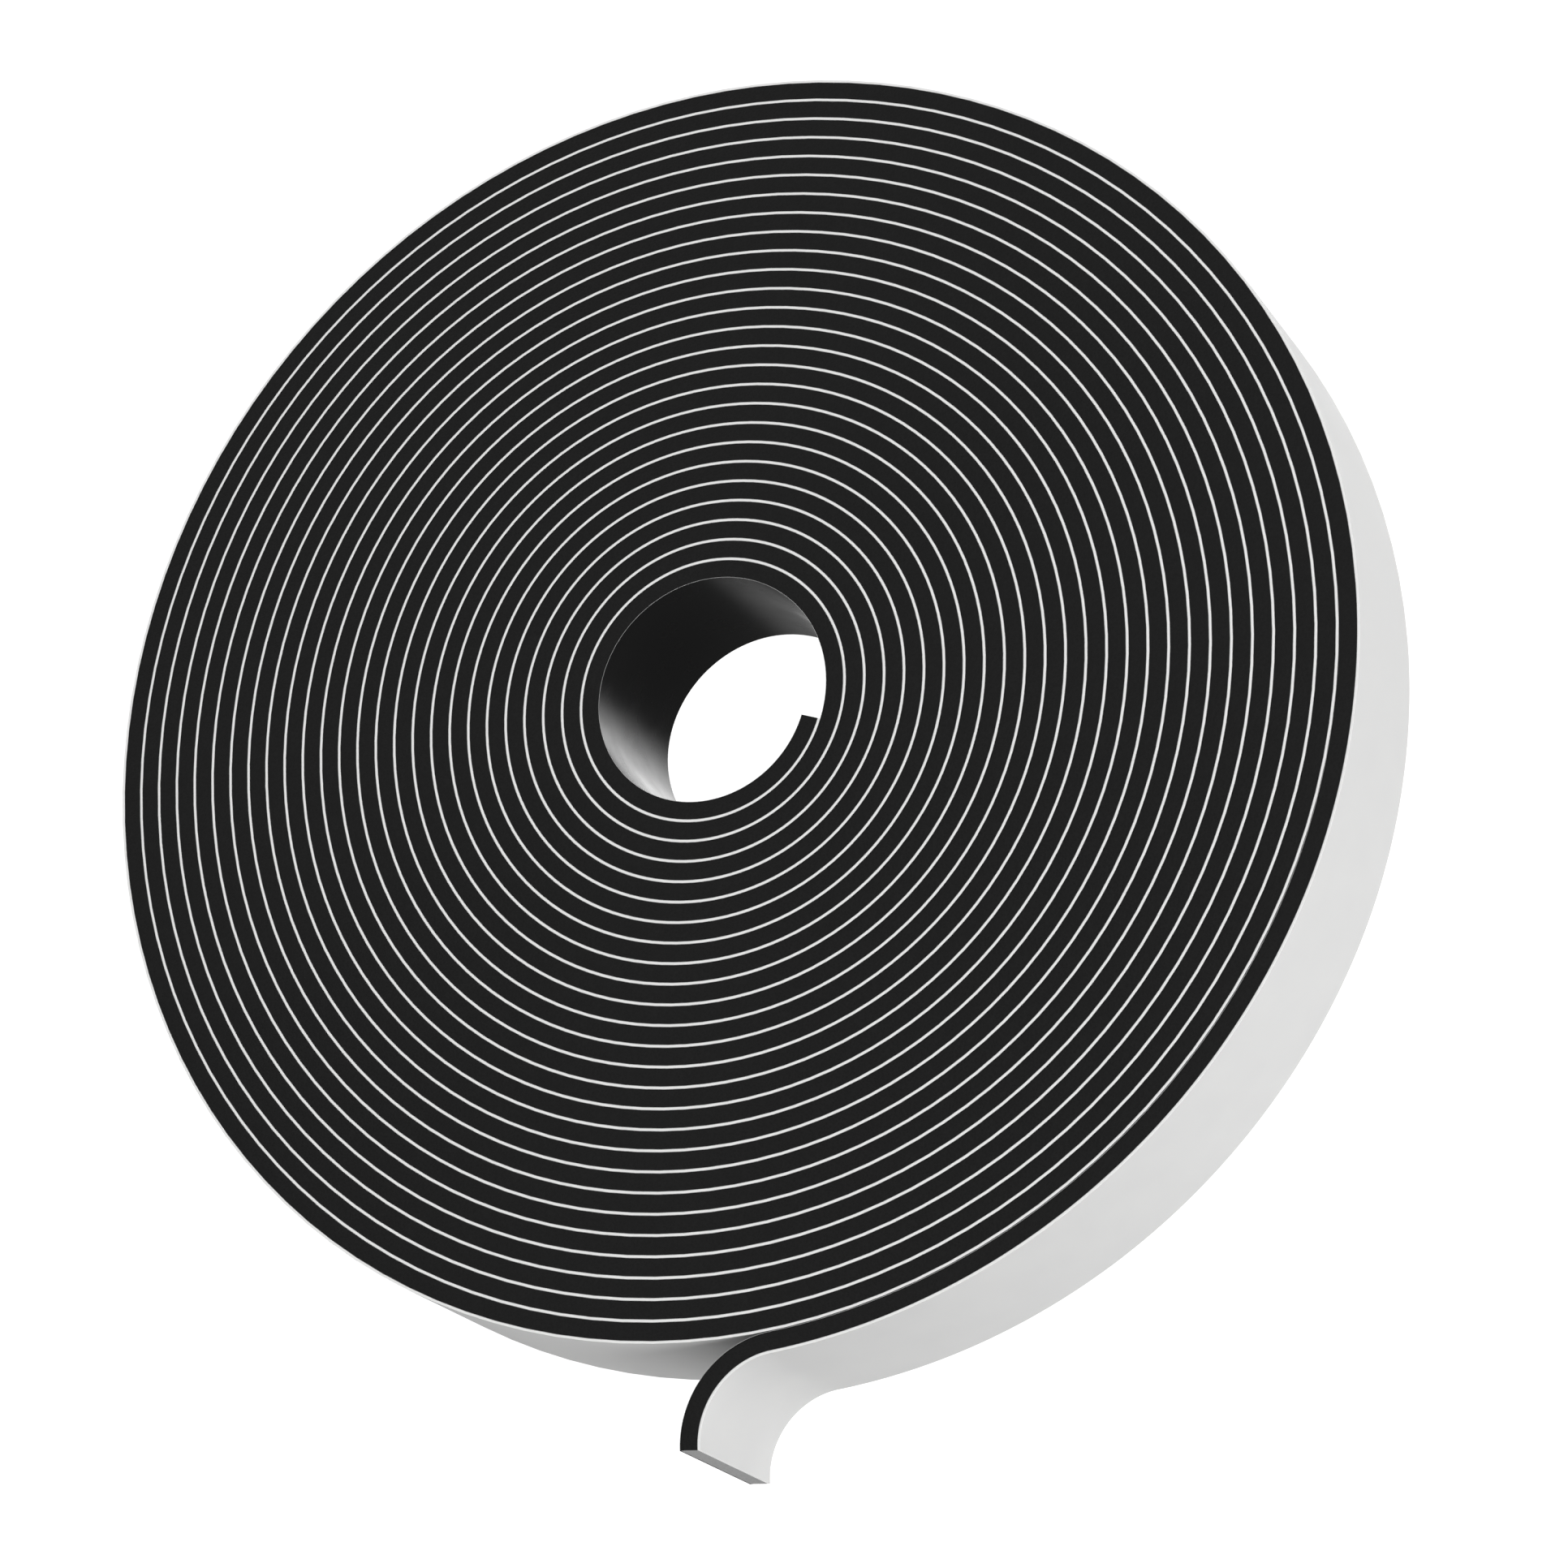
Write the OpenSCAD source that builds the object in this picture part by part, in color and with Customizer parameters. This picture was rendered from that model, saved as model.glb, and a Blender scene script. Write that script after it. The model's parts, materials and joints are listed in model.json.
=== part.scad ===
// Roll of double-sided foam tape, wound on itself without a core.
// The roll lies flat: its axis is +Z, its lower face is at z = 0, and it unwinds clockwise
// seen from above. The strip is four bonded layers, from the side that faces the hole:
// adhesive, foam, adhesive, release liner. Angles named "angle" run clockwise from +X.

/* [Tape] */
// Width of the tape, which is the height of the roll
tape_w = 26.4; // [12:0.2:60]
// Thickness of the foam
foam_t = 2.72; // [1.2:0.02:6]
// Thickness of each coat of adhesive
adhesive_t = 0.06; // [0.04:0.01:0.15]
// Thickness of the release liner
liner_t = 0.36; // [0.2:0.02:0.6]

/* [Roll] */
// Radius of the hole, measured to the strip's inner end
hole_r = 16.53; // [10:0.01:40]
// Whole turns from the inner end's turn to the turn that carries the free end
turns = 26; // [3:1:30]
// Direction of the inner end
inner_end_angle = 19.45; // [0:0.05:80]
// Direction in which the free end leaves the roll
leave_angle = 84; // [50:1:130]

/* [Free end] */
// Radius of the curl, to the middle of the foam
curl_r = 14.3; // [8:0.1:30]
// Angle that the curl turns through, up to the square cut
curl_sweep = 87.3; // [60:1:110]

/* [Moving parts] */
// Jointed lengths in the part of the outer turn that unwinds
wrap_count = 8; // [2:1:8]
// Angle that each of them covers
wrap_step = 9; // [6:1:18]
// Jointed lengths in the curl
curl_count = 4; // [3:1:5]
// Angle that each of them covers, apart from the last
curl_step = 18; // [10:1:20]
// Part of the last length's liner that stays down when the tab is peeled, as an angle
tab_root_step = 6; // [3:1:10]
// Closing angle of the curl's first joint, with room to spare
first_notch = 8; // [2:1:20]
// Closing angle of its other joints, with room to spare
curl_notch = 27.5; // [10:0.5:32]
// Play between two jointed lengths
joint_gap = 0.1; // [0.05:0.01:0.3]
// Play between the moving part of the strip and the turn under it
wrap_gap = 0.1; // [0.05:0.01:0.3]
// Play between the tab and the adhesive that it covers
tab_gap = 0.04; // [0.02:0.01:0.1]

/* [Hidden] */
LAYERS = ["inner_adhesive", "foam", "outer_adhesive", "liner"];
PARTS = concat(["coil"], [for (i = [1:wrap_count]) str("wrap_", i)], [for (i = [1:curl_count]) str("curl_", i)]);
$fn = 180;

COLOURS = ["#cfd0cc", "#1f1f1f", "#cfd0cc", "#e6e6e4"];
QUARTER = 90;
FULL = 360;

// Height of each layer's two faces above the strip's inner face
FACES = [0, adhesive_t, adhesive_t + foam_t, 2 * adhesive_t + foam_t, 2 * adhesive_t + foam_t + liner_t];
strip_t = FACES[4];

// Angles along the winding: the inner end, the first joint and the place where the strip leaves
start_a = inner_end_angle;
leave_a = turns * FULL + leave_angle;
wrap_a = leave_a - wrap_count * wrap_step;

// The winding is made of quarter turns. Each has its centre on the next corner of a small
// square, so the radius grows by one strip thickness a turn and the arcs join smoothly.
centre_step = strip_t / 4;
CORNERS = [[-1, -1], [-1, 1], [1, 1], [1, -1]];
function arc_centre(k) = centre_step / 2 * CORNERS[k % 4];
function arc_r(k) = hole_r + strip_t * ((k + 0.5) * QUARTER - start_a) / FULL;
function dir(a) = [cos(a), -sin(a)];
function gap_angle(r) = joint_gap / r * 180 / PI;

// The curl's centre, outside the roll, and the angle of each joint round it
leave_k = floor(leave_a / QUARTER);
curl_reach = adhesive_t + foam_t / 2 + curl_r;
curl_centre = arc_centre(leave_k) + (arc_r(leave_k) + wrap_gap + curl_reach) * dir(leave_a);
function curl_s(i) = i < curl_count ? i * curl_step : curl_sweep;
tab_s = curl_s(curl_count - 1) + tab_root_step;
liner_r = curl_reach - strip_t;

// Flat ring sector between two radii and two angles less than a half turn apart
module arc_band(r0, r1, a0, a1) {
    reach = 2 * r1;
    intersection() {
        difference() {
            circle(r1);
            circle(r0);
        }
        polygon([[0, 0], reach * dir(a0), reach * dir((a0 + a1) / 2), reach * dir(a1)]);
    }
}

// Band of the winding from face e0 to face e1, between the angles a0 and a1
module wound_band(e0, e1, a0, a1)
    for (k = [floor(a0 / QUARTER):ceil(a1 / QUARTER) - 1])
        translate(arc_centre(k))
            arc_band(arc_r(k) + e0, arc_r(k) + e1, max(a0, k * QUARTER), min(a1, (k + 1) * QUARTER));

// Places what is drawn round the curl's centre so that +X there points to the strip and
// +Y points along it, at the angle s into the curl
module at_curl(s)
    translate(curl_centre) rotate(s - leave_a - 180) children();

// Band of the curl between the angles s0 and s1 into it
module curl_band(e0, e1, s0, s1)
    at_curl(0) arc_band(curl_reach - e1, curl_reach - e0, -s1, -s0);

// Slot at a joint of the curl: a plain gap in the liner's face that opens as a V towards
// the inner face, so that the strip can be pressed back on to the roll
module curl_slot(s, notch) {
    over = strip_t / 2;
    half = joint_gap / 2;
    wide = half + (strip_t + over) * tan(notch / 2);
    at_curl(s) translate([liner_r, 0])
        polygon([[-over, half], [-over, -half], [0, -half], [strip_t + over, -wide],
                 [strip_t + over, wide], [0, half]]);
}

module curl_slots()
    for (i = [0:curl_count - 1]) curl_slot(curl_s(i), i == 0 ? first_notch : curl_notch);

// The still part of the roll
module coil_layer(l)
    color(COLOURS[l]) linear_extrude(tape_w)
        wound_band(FACES[l], FACES[l + 1], start_a, wrap_a - gap_angle(arc_r(leave_k)) / 2);

// Length i of the outer turn
module wrap_layer(l, i) {
    half = gap_angle(arc_r(leave_k)) / 2;
    color(COLOURS[l]) linear_extrude(tape_w) difference() {
        wound_band(FACES[l] + wrap_gap, FACES[l + 1] + wrap_gap,
                   wrap_a + (i - 1) * wrap_step + half, wrap_a + i * wrap_step - (i < wrap_count ? half : 0));
        if (i == wrap_count) curl_slot(0, first_notch);
    }
}

// Length i of the curl
module curl_layer(l, i) {
    short = i == curl_count && LAYERS[l] == "liner";
    color(COLOURS[l]) linear_extrude(tape_w) difference() {
        curl_band(FACES[l], FACES[l + 1], curl_s(i - 1), short ? tab_s : curl_s(i));
        curl_slots();
    }
}

// The liner's end, which peels off the adhesive
module liner_tab()
    color(COLOURS[3]) linear_extrude(tape_w)
        curl_band(FACES[3] + tab_gap, FACES[4], tab_s + gap_angle(liner_r), curl_sweep);

for (l = [0:3]) {
    coil_layer(l);
    for (i = [1:wrap_count])
        wrap_layer(l, i);
    for (i = [1:curl_count])
        curl_layer(l, i);
}
liner_tab();
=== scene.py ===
"""Coreless roll of double-sided foam tape, lying flat, with its free end lifted and curled.

The strip is four bonded layers. Each is a thin profile carried along one path: an even spiral
about +Z that winds clockwise outwards, then a tight arc that turns the other way. A place on
the path is one number, the station, in degrees: the angle wound up to LEAVE, and past it the
angle turned by the curl.
"""
import json
import math

import bpy
import numpy as np
from mathutils import Matrix, Vector

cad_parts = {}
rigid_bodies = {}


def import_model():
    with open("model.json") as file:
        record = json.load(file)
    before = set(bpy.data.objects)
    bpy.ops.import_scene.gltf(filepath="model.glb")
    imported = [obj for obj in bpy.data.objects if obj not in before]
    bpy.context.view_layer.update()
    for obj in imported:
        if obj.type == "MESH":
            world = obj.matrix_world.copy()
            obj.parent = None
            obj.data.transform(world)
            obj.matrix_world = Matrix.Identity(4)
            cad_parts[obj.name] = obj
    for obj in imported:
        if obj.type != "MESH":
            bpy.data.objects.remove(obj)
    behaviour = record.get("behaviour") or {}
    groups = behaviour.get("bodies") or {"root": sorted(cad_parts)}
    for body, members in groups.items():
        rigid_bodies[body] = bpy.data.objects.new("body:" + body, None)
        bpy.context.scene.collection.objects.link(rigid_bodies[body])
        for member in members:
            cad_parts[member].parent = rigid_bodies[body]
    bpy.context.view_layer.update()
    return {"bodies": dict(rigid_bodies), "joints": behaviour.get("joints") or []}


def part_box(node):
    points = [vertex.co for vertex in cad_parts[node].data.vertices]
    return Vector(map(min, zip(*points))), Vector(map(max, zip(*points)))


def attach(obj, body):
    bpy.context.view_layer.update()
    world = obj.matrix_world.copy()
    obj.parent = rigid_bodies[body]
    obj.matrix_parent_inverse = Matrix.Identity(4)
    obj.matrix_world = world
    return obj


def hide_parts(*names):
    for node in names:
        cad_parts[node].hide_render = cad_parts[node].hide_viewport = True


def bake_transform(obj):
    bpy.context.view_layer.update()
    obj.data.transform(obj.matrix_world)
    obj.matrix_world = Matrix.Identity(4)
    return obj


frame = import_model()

MM = 0.001
FULL_TURN = 360.0
HALF_TURN = 180.0

# The strip's layers, in millimetres, from the side that faces the hole
ADHESIVE_T = 0.06
FOAM_T = 2.72
LINER_T = 0.36
STRIP_T = 2 * ADHESIVE_T + FOAM_T + LINER_T
TAPE_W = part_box("liner_coil")[1].z / MM

# The winding: radius and angle of the inner end, and the station where the strip leaves the roll
HOLE_R = 16.53
START = 19.45
LEAVE = 26 * FULL_TURN + 84.0

# The lengths that move
WRAP_COUNT = sum(name.startswith("wrap_") for name in frame["bodies"])
WRAP_STEP = 9.0
WRAP_START = LEAVE - WRAP_COUNT * WRAP_STEP
WRAP_GAP = 0.1
CURL_R = 14.3
CURL_STEP = 18.0
CURL_END = LEAVE + 87.3
TAB_ROOT = LEAVE + 60.0
# How far the strip's cross cut leans off square, as a share of the height: the liner runs on longest
CUT_LEAN = 0.12

# Degrees between the rings of a mesh, on the roll and where the strip bends
ROLL_RING = 3.0
BEND_RING = 0.5

# On a section: the directions of the points on a rounded corner, in degrees, and how many corner
# radii lie between a side's end and the support beside it
CORNER_TURNS = (30.0, 60.0)
SUPPORT = 3


# ---------------------------------------------------------------- the path

def ramp(x):
    """0 below 0, 1 above 1 and a smooth S between them: 3x^2 - 2x^3."""
    x = np.clip(x, 0.0, 1.0)
    return x * x * (3.0 - 2.0 * x)


def compass(angle):
    """Unit vectors at angles that run clockwise from +X: (cos, -sin)."""
    angle = np.radians(np.atleast_1d(angle).astype(float))
    return np.stack([np.cos(angle), -np.sin(angle)], axis=1)


def path(stations):
    """The strip's inner face and the direction out of the roll, at each station.

    Wound: radius = HOLE_R + STRIP_T * turns, plus the small gap under the lengths that move.
    Curled: a circle that touches the roll where the strip leaves, its centre outside the roll.
    """
    stations = np.atleast_1d(stations).astype(float)
    wound = np.minimum(stations, LEAVE)
    gap = WRAP_GAP * ramp((wound - WRAP_START + WRAP_STEP / 2) / (2 * WRAP_STEP))
    out = compass(wound)
    base = (HOLE_R + STRIP_T * (wound - START) / FULL_TURN + gap)[:, None] * out
    leave_r = HOLE_R + STRIP_T * (LEAVE - START) / FULL_TURN + WRAP_GAP
    reach = ADHESIVE_T + FOAM_T / 2 + CURL_R
    centre = (leave_r + reach) * compass(LEAVE)[0]
    arm = compass(LEAVE + HALF_TURN - (stations - LEAVE))
    curled = (stations > LEAVE)[:, None]
    base = np.where(curled, centre + reach * arm, base)
    return base, np.where(curled, -arm, out)


def rings(first, last, step):
    """Evenly spaced stations from first to last, at most step apart."""
    return np.linspace(first, last, max(2, math.ceil((last - first) / step) + 1))


# ---------------------------------------------------------------- sections and meshes

def side(start, end, corner, extra):
    """Positions along one side of a section: its ends, a support close to each, and extra points."""
    inner = np.linspace(start, end, extra + 2)[1:-1]
    hold = SUPPORT * corner
    return np.unique(np.concatenate([[start, start + hold, end - hold, end], inner]))


def section(low, high, recess, corner, crown, extra):
    """Closed outline of one layer, counter-clockwise in (height above the inner face, z).

    The two broad faces are flat. The two cut edges lie recess inside the tape's width, and
    bow out by crown in the middle: z = edge - crown * x^2, with x from -1 to 1 across them.
    The corners are quarter circles. Returns the points, and for each side of the outline
    whether it belongs to a cut edge.
    """
    bottom, top = recess, TAPE_W - recess
    turn = np.radians(CORNER_TURNS)
    across = side(low + corner, high - corner, corner, extra)
    x = 2 * (across - low) / (high - low) - 1
    bow = crown * x * x
    end_bow = bow[0]
    up = side(bottom + end_bow + corner, top - end_bow - corner, corner, 0)

    def bend(centre_h, centre_z, quarter):
        angle = turn + quarter * math.pi / 2
        return np.stack([centre_h + corner * np.cos(angle), centre_z + corner * np.sin(angle)], axis=1)

    def run(h, z):
        return np.stack(np.broadcast_arrays(h, z), axis=1).astype(float)

    parts = [
        (run(across, bottom + bow), True),
        (bend(high - corner, up[0], 3), True),
        (run(high, up), False),
        (bend(high - corner, up[-1], 0), True),
        (run(across[::-1], top - bow[::-1]), True),
        (bend(low + corner, up[-1], 1), True),
        (run(low, up[::-1]), False),
        (bend(low + corner, up[0], 2), True),
    ]
    points = np.concatenate([p for p, _ in parts])
    edge = np.concatenate([np.full(len(p), e) for p, e in parts])
    return points, edge


def carry(name, outline, stations, materials, cap_slot, lean):
    """A closed mesh: the outline carried along the path.

    Each ring is base + height * out, with the outline's own z. The last ring leans: it moves
    along the strip by lean * (height - half the strip's thickness). The faces of the cut edges
    take the second material, the broad faces the first, and the two end caps cap_slot. The UV
    map runs along the strip and round the outline, in metres.
    """
    points, edge = outline
    base, out = path(stations)
    ring_n, side_n = len(stations), len(points)
    co = np.empty((ring_n, side_n, 3))
    co[:, :, :2] = base[:, None, :] + points[None, :, :1] * out[:, None, :]
    co[:, :, 2] = points[None, :, 1]
    ahead = (base[-1] - base[-2]) / np.linalg.norm(base[-1] - base[-2])
    co[-1, :, :2] += lean * (points[:, :1] - STRIP_T / 2) * ahead
    co *= MM

    index = np.arange(ring_n * side_n).reshape(ring_n, side_n)
    here, after = index[:-1], index[1:]
    quads = np.stack([here, np.roll(here, -1, 1), np.roll(after, -1, 1), after], axis=2).reshape(-1, 4)
    mesh = bpy.data.meshes.new(name)
    faces = quads.tolist() + [index[0, ::-1].tolist(), index[-1].tolist()]
    mesh.from_pydata(co.reshape(-1, 3).tolist(), [], faces)

    run = np.concatenate([[0.0], np.cumsum(np.linalg.norm(np.diff(co[:, 0], axis=0), axis=1))])
    steps = np.diff(points, axis=0, append=points[:1])
    lap = np.concatenate([[0.0], np.cumsum(np.linalg.norm(steps, axis=1))]) * MM
    u = np.stack([run[:-1], run[:-1], run[1:], run[1:]], axis=1)
    v = np.stack([lap[:-1], lap[1:], lap[1:], lap[:-1]], axis=1)
    along = np.repeat(u[:, None, :], side_n, axis=1).reshape(-1)
    round_it = np.repeat(v[None, :, :], ring_n - 1, axis=0).reshape(-1)
    caps = np.concatenate([points[::-1], points]) * MM
    uv = np.concatenate([np.stack([along, round_it], axis=1), caps]).astype(np.float32)
    layer = mesh.uv_layers.new(name="strip")
    layer.data.foreach_set("uv", uv.reshape(-1))

    on_edge = edge & np.roll(edge, -1)
    slots = np.concatenate([np.tile(on_edge.astype(np.int32), ring_n - 1), [cap_slot[0], cap_slot[1]]])
    smooth = np.concatenate([np.ones(len(quads), bool), [False, False]])
    mesh.polygons.foreach_set("material_index", slots.astype(np.int32))
    mesh.polygons.foreach_set("use_smooth", smooth)
    ends = np.empty(2 * len(mesh.edges), np.int32)
    mesh.edges.foreach_get("vertices", ends)
    ring = ends.reshape(-1, 2) // side_n
    rim = (ring[:, 0] == ring[:, 1]) & np.isin(ring[:, 0], (0, ring_n - 1))
    mesh.edges.foreach_set("use_edge_sharp", rim)
    for material in materials:
        mesh.materials.append(material)
    mesh.update()
    piece = bpy.data.objects.new(name, mesh)
    bpy.context.scene.collection.objects.link(piece)
    return piece


# ---------------------------------------------------------------- materials

# Width of an opened foam cell, in millimetres
CELL = 0.42


def shade(hex_colour):
    """Linear RGBA from an sRGB hex colour."""
    value = np.array([int(hex_colour[i:i + 2], 16) for i in (1, 3, 5)]) / 255.0
    linear = np.where(value <= 0.04045, value / 12.92, ((value + 0.055) / 1.055) ** 2.4)
    return (*linear.tolist(), 1.0)


def add(tree, kind, inputs, **settings):
    """Adds one node. inputs gives each socket a value or another node's output."""
    node = tree.nodes.new("ShaderNode" + kind)
    for key, value in settings.items():
        setattr(node, key, value)
    for key, value in inputs.items():
        if isinstance(value, bpy.types.NodeSocket):
            tree.links.new(value, node.inputs[key])
        else:
            node.inputs[key].default_value = value
    return node


def blank(name):
    """A new material with an empty node tree, and its Object coordinates."""
    material = bpy.data.materials.new(name)
    material.use_nodes = True
    tree = material.node_tree
    tree.nodes.clear()
    return material, tree, add(tree, "TexCoord", {}).outputs["Object"]


def surface(tree, colour, roughness, height, depth_mm, **fixed):
    """Ends a material: the main shader with a bump of that depth, and its fixed sockets."""
    bump = add(tree, "Bump", {"Strength": 1.0, "Distance": depth_mm * MM, "Height": height})
    sockets = {"Base Color": colour, "Roughness": roughness, "Normal": bump.outputs["Normal"]}
    sockets.update(fixed)
    shader = add(tree, "BsdfPrincipled", sockets)
    add(tree, "OutputMaterial", {"Surface": shader.outputs["BSDF"]})


def ladder(tree, factor, low, high):
    """A colour between two hex colours, by a factor from 0 to 1."""
    mix = add(tree, "Mix", {"Factor": factor, "A": shade(low), "B": shade(high)}, data_type="RGBA")
    return mix.outputs["Result"]


def span(tree, value, low, high, new_low, new_high, **settings):
    """A value moved from one range to another, and kept inside it."""
    moved = add(tree, "MapRange", {"Value": value, "From Min": low, "From Max": high,
                                   "To Min": new_low, "To Max": new_high}, **settings)
    return moved.outputs["Result"]


def per_mm(size):
    """The scale of a pattern whose repeat is that many millimetres."""
    return 1.0 / (size * MM)


def open_cells(tree, place):
    """The foam's opened cells, CELL across: 0 in the middle of a cell and 1 on the walls."""
    cells = add(tree, "TexVoronoi", {"Vector": place, "Scale": per_mm(CELL)}, feature="F1")
    return span(tree, cells.outputs["Distance"], 0.1, 0.75, 0.0, 1.0)


def closed_cell_foam():
    """Cross-linked polyethylene foam, black, slit with a knife.

    The slit opens its cells: matt black, with fine pores a little darker than their walls.
    """
    material, tree, place = blank("slit_black_polyethylene_foam")
    grain = add(tree, "TexNoise", {"Vector": place, "Scale": per_mm(2.5), "Detail": 5.0})
    pore = open_cells(tree, place)
    tone = add(tree, "Math", {0: pore, 1: grain.outputs["Fac"]}, operation="MULTIPLY")
    colour = ladder(tree, tone.outputs[0], "#0c0c0c", "#161616")
    surface(tree, colour, 0.88, pore, 0.05, **{"IOR": 1.5, "Specular IOR Level": 0.35})
    return material


def gloss_adhesive():
    """Clear acrylic adhesive, coated wet over black foam and dried: a wet black gloss.

    It levels to a slight orange peel, a few millimetres from crest to crest.
    """
    material, tree, place = blank("coated_clear_acrylic_adhesive")
    peel = add(tree, "TexNoise", {"Vector": place, "Scale": per_mm(5.0), "Detail": 2.0})
    rough = span(tree, peel.outputs["Fac"], 0.3, 0.7, 0.2, 0.3)
    surface(tree, shade("#121212"), rough, peel.outputs["Fac"], 0.007, **{"IOR": 1.47})
    return material


def adhesive_edge_painted_highlight():
    """The same adhesive seen edge on, half gloss: its light grey is a painted highlight along the slit
    edges, streaked where the knife dragged it.
    """
    material, tree, place = blank("slit_acrylic_adhesive_edge")
    drag = add(tree, "TexNoise", {"Vector": place, "Scale": per_mm(0.8), "Detail": 3.0})
    # Painted highlight: the light grey stands for sheen along the adhesive's slit edges
    colour = ladder(tree, drag.outputs["Fac"], "#a7a7a7", "#b7b7b6")
    surface(tree, colour, 0.4, drag.outputs["Fac"], 0.01, **{"IOR": 1.47})
    return material


def release_liner():
    """Siliconised white liner, cast smooth: a soft even satin.

    It has faint mottling and very fine lines along the strip from the coating bar.
    """
    material, tree, place = blank("siliconised_white_liner")
    mottle = add(tree, "TexNoise", {"Vector": place, "Scale": per_mm(6.0), "Detail": 4.0})
    uv = add(tree, "TexCoord", {}).outputs["UV"]
    stretched = add(tree, "Mapping", {"Vector": uv, "Scale": (per_mm(60.0), per_mm(0.5), 1.0)})
    lines = add(tree, "TexNoise", {"Vector": stretched.outputs["Vector"], "Scale": 1.0, "Detail": 2.0})
    colour = ladder(tree, mottle.outputs["Fac"], "#d0d0d0", "#d4d4d3")
    rough = span(tree, mottle.outputs["Fac"], 0.3, 0.7, 0.5, 0.58)
    surface(tree, colour, rough, lines.outputs["Fac"], 0.006, **{"IOR": 1.4, "Specular IOR Level": 0.3})
    return material


def slit_liner_painted_highlight():
    """The liner's slit edge: without gloss, and painted lighter than the liner's face, a painted highlight
    for the light on the edges that face up.
    """
    material, tree, place = blank("slit_white_liner_edge")
    fibre = add(tree, "TexNoise", {"Vector": place, "Scale": per_mm(0.6), "Detail": 3.0})
    # Painted highlight: a lighter copy of the liner's white, for its up-facing edges
    colour = ladder(tree, fibre.outputs["Fac"], "#f2f2f1", "#f9f9f8")
    surface(tree, colour, 0.7, fibre.outputs["Fac"], 0.01, **{"IOR": 1.45})
    return material


def cut_end_painted_shade():
    """The strip's cross-cut end: painted shade, a mid grey that stands for a white end in shade, with the
    foam's opened pores a little darker than their walls.
    """
    material, tree, place = blank("cross_cut_end")
    pore = open_cells(tree, place)
    # Painted shade: this mid grey copies a white end seen in shade
    colour = ladder(tree, pore, "#999999", "#a5a5a5")
    surface(tree, colour, 0.6, pore, 0.03, **{"IOR": 1.47})
    return material


FOAM = closed_cell_foam()
GLOSS = gloss_adhesive()
EDGE_PAINTED_HIGHLIGHT = adhesive_edge_painted_highlight()
LINER = release_liner()
LINER_EDGE = slit_liner_painted_highlight()
CUT_END = cut_end_painted_shade()


# ---------------------------------------------------------------- the strip's layers

FOAM_LOW = ADHESIVE_T
FOAM_HIGH = FOAM_LOW + FOAM_T
LINER_LOW = FOAM_HIGH + ADHESIVE_T
# Each layer's slot in the record, the heights of its two faces, the recess, corner, crown and
# extra points of its cut edges, and its materials: broad faces, cut edges, cross-cut end
LAYERS = {
    "inner_adhesive": ("adhesive", 0.0, FOAM_LOW, 0.02, 0.008, 0.0, 0, (GLOSS, EDGE_PAINTED_HIGHLIGHT, EDGE_PAINTED_HIGHLIGHT)),
    "foam": ("foam", FOAM_LOW, FOAM_HIGH, 0.03, 0.06, 0.05, 3, (FOAM, FOAM, CUT_END)),
    "outer_adhesive": ("adhesive", FOAM_HIGH, LINER_LOW, 0.02, 0.008, 0.0, 0, (GLOSS, EDGE_PAINTED_HIGHLIGHT, EDGE_PAINTED_HIGHLIGHT)),
    "liner": ("liner", LINER_LOW, STRIP_T, 0.0, 0.03, 0.0, 0, (LINER, LINER_EDGE, LINER_EDGE)),
}


def layer_piece(layer, tag, first, last, step):
    """One length of a layer, between two stations."""
    slot_name, low, high, recess, corner, crown, extra, materials = LAYERS[layer]
    outline = section(low, high, recess, corner, crown, extra)
    at_cut = last >= CURL_END
    caps = (1, 2 if at_cut else 1)
    lean = CUT_LEAN if at_cut else 0.0
    piece = carry(f"{layer}_{tag}", outline, rings(first, last, step), materials, caps, lean)
    return piece


def roll_pieces():
    """The still part of the roll, up to half a length before the first joint. Its last stretch
    has the close rings of the pieces that bend, so that the two meet without a step."""
    end = WRAP_START - WRAP_STEP / 2
    for layer in LAYERS:
        piece = layer_piece(layer, "wound", START, end - WRAP_STEP, ROLL_RING)
        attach(piece, "coil")
        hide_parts(f"{layer}_coil")
        near = layer_piece(layer, "wound_end", end - WRAP_STEP, end, BEND_RING)
        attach(near, "coil")
        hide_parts(f"{layer}_coil")


def bend_pieces():
    """The lengths that move: one piece round each joint, from the middle of one length to the
    middle of the next, so that the strip stays whole. Each is built where it lies at rest. The last joint
    in the frame is the peeling liner's, and has its own piece."""
    joints = frame["joints"][:-1]
    hinges = [WRAP_START + i * WRAP_STEP for i in range(WRAP_COUNT)]
    hinges += [LEAVE + i * CURL_STEP for i in range(len(joints) - WRAP_COUNT)]
    borders = [WRAP_START - WRAP_STEP / 2]
    borders += [(a + b) / 2 for a, b in zip(hinges, hinges[1:])] + [TAB_ROOT]
    for number, joint in enumerate(joints):
        first, last = borders[number], borders[number + 1]
        for layer in LAYERS:
            runs_on = last == TAB_ROOT and layer != "liner"
            end = CURL_END if runs_on else last
            piece = layer_piece(layer, f"bend_{number + 1}", first, end, BEND_RING)
            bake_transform(piece)
            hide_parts(f"{layer}_{joint['parent']}", f"{layer}_{joint['child']}")


def tab_piece():
    """The liner over the strip's end, which can peel off the adhesive and fold at its root: one piece from
    that root to the cut, built at rest.
    """
    tab = layer_piece("liner", "tab_end", TAB_ROOT, CURL_END, BEND_RING)
    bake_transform(tab)
    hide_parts("liner_tab")


# ---------------------------------------------------------------- camera, floor and light

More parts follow.
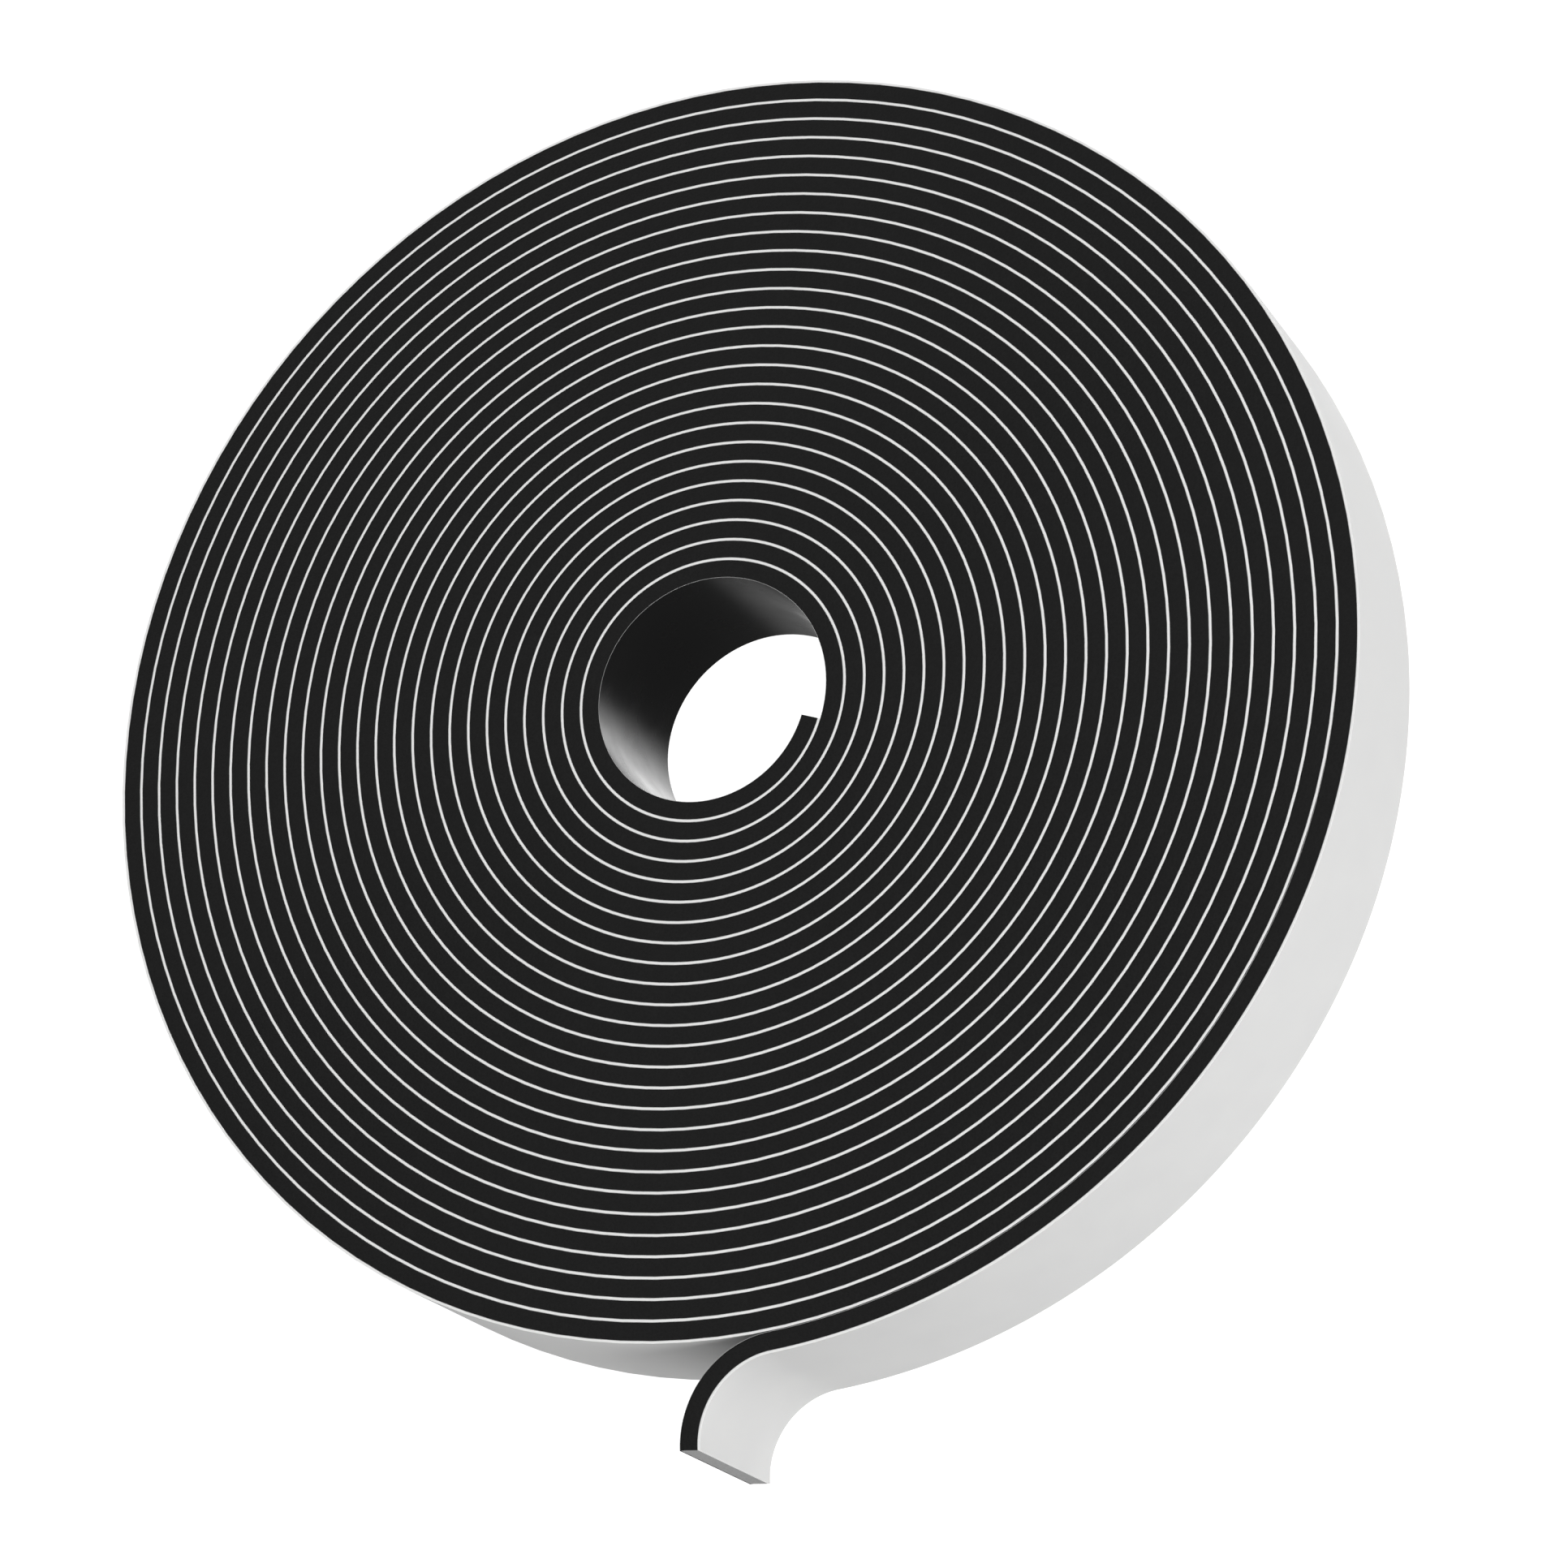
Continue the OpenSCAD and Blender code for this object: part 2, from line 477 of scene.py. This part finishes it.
CAMERA_AT = Vector((282.813, -264.624, 681.154)) * MM
CAMERA_FORWARD = Vector((-0.359810, 0.330936, -0.872364))
CAMERA_RIGHT = Vector((0.924454, 0.0, -0.381295))
CAMERA_LENS = 114.84
CAMERA_SENSOR = 36.0
CAMERA_FAR = 20.0
FLOOR_HALF = 3.0
SKY = 0.08
# Each glow's direction, the share along it where it begins and where it is full, and its strength
GLOWS = (((-0.14, 0.99, 0.0), 0.10, 0.60, 2.4), ((-1.0, 0.0, 0.0), 0.30, 0.50, 0.25))
# Heights of a direction, down from the horizon, where the glows begin and where they are full
GLOW_BELOW = (-0.2, -0.6)
SOFTBOX_WIDTH = 0.7


def camera():
    """A long lens above the roll's front right, at the viewing angle, with no tilt or shift."""
    data = bpy.data.cameras.new("camera")
    data.sensor_width = CAMERA_SENSOR
    data.lens = CAMERA_LENS
    data.clip_end = CAMERA_FAR
    eye = bpy.data.objects.new("camera", data)
    back = -CAMERA_FORWARD.normalized()
    right = CAMERA_RIGHT.normalized()
    turn = Matrix((right, back.cross(right), back)).transposed()
    eye.matrix_world = Matrix.Translation(CAMERA_AT) @ turn.to_4x4()
    bpy.context.scene.collection.objects.link(eye)
    bpy.context.scene.camera = eye


def floor():
    """A plain white light table: it glows evenly, also inside the hole. Gloss doesn't mirror it."""
    mesh = bpy.data.meshes.new("floor")
    h = FLOOR_HALF
    mesh.from_pydata([(-h, -h, 0), (h, -h, 0), (h, h, 0), (-h, h, 0)], [], [(0, 1, 2, 3)])
    material, tree, _ = blank("pale_floor")
    shader = add(tree, "BsdfPrincipled", {"Base Color": shade("#808080"), "Roughness": 0.9,
                                          "Emission Color": shade("#ffffff"), "Emission Strength": 0.97})
    add(tree, "OutputMaterial", {"Surface": shader.outputs["BSDF"]})
    mesh.materials.append(material)
    plane = bpy.data.objects.new("floor", mesh)
    plane.visible_glossy = False
    bpy.context.scene.collection.objects.link(plane)


def softbox(name, place, watts):
    """A square area light that faces the roll. place is in metres."""
    data = bpy.data.lights.new(name, "AREA")
    data.shape = "SQUARE"
    data.size = SOFTBOX_WIDTH
    data.energy = watts
    lamp = bpy.data.objects.new(name, data)
    lamp.location = place
    lamp.rotation_euler = (-Vector(place)).to_track_quat("-Z", "Y").to_euler()
    bpy.context.scene.collection.objects.link(lamp)


def glow_from(tree, way, toward, begins, full, strength):
    """Light from one side, below the horizon: it swells as the direction turns towards that side."""
    share = add(tree, "VectorMath", {0: way, 1: toward}, operation="DOT_PRODUCT")
    side_on = span(tree, share.outputs["Value"], begins, full, 0.0, strength,
                   interpolation_type="SMOOTHSTEP")
    down = add(tree, "SeparateXYZ", {"Vector": way})
    below = span(tree, down.outputs["Z"], *GLOW_BELOW, 0.0, 1.0)
    amount = add(tree, "Math", {0: side_on, 1: below}, operation="MULTIPLY")
    return add(tree, "Background", {"Color": shade("#ffffff"), "Strength": amount.outputs[0]}, name="glow")


def surroundings():
    """An even sky, and two soft glows low at the back and on the left, which only gloss can see
    past the light table."""
    world = bpy.data.worlds.new("studio")
    world.use_nodes = True
    tree = world.node_tree
    tree.nodes.clear()
    way = add(tree, "TexCoord", {}).outputs["Generated"]
    light = add(tree, "Background", {"Color": shade("#ffffff"), "Strength": SKY}, name="sky")
    for glow in GLOWS:
        light = add(tree, "AddShader", {0: light.outputs[0], 1: glow_from(tree, way, *glow).outputs[0]})
    add(tree, "OutputWorld", {"Surface": light.outputs[0]})
    bpy.context.scene.world = world
    bpy.context.scene.view_settings.view_transform = "Standard"


def studio():
    """Two broad keys, on the right and at the near right corner, one overhead and one behind."""
    softbox("key_right", (1.2, 0.45, 0.5), 4.0)
    softbox("key_corner", (1.1, -0.9, 0.45), 8.5)
    softbox("overhead", (0.15, -0.15, 1.4), 11.5)
    softbox("rim_back", (-1.0, 1.1, 0.4), 4.0)


camera()
roll_pieces()
bend_pieces()
tab_piece()
floor()
surroundings()
studio()
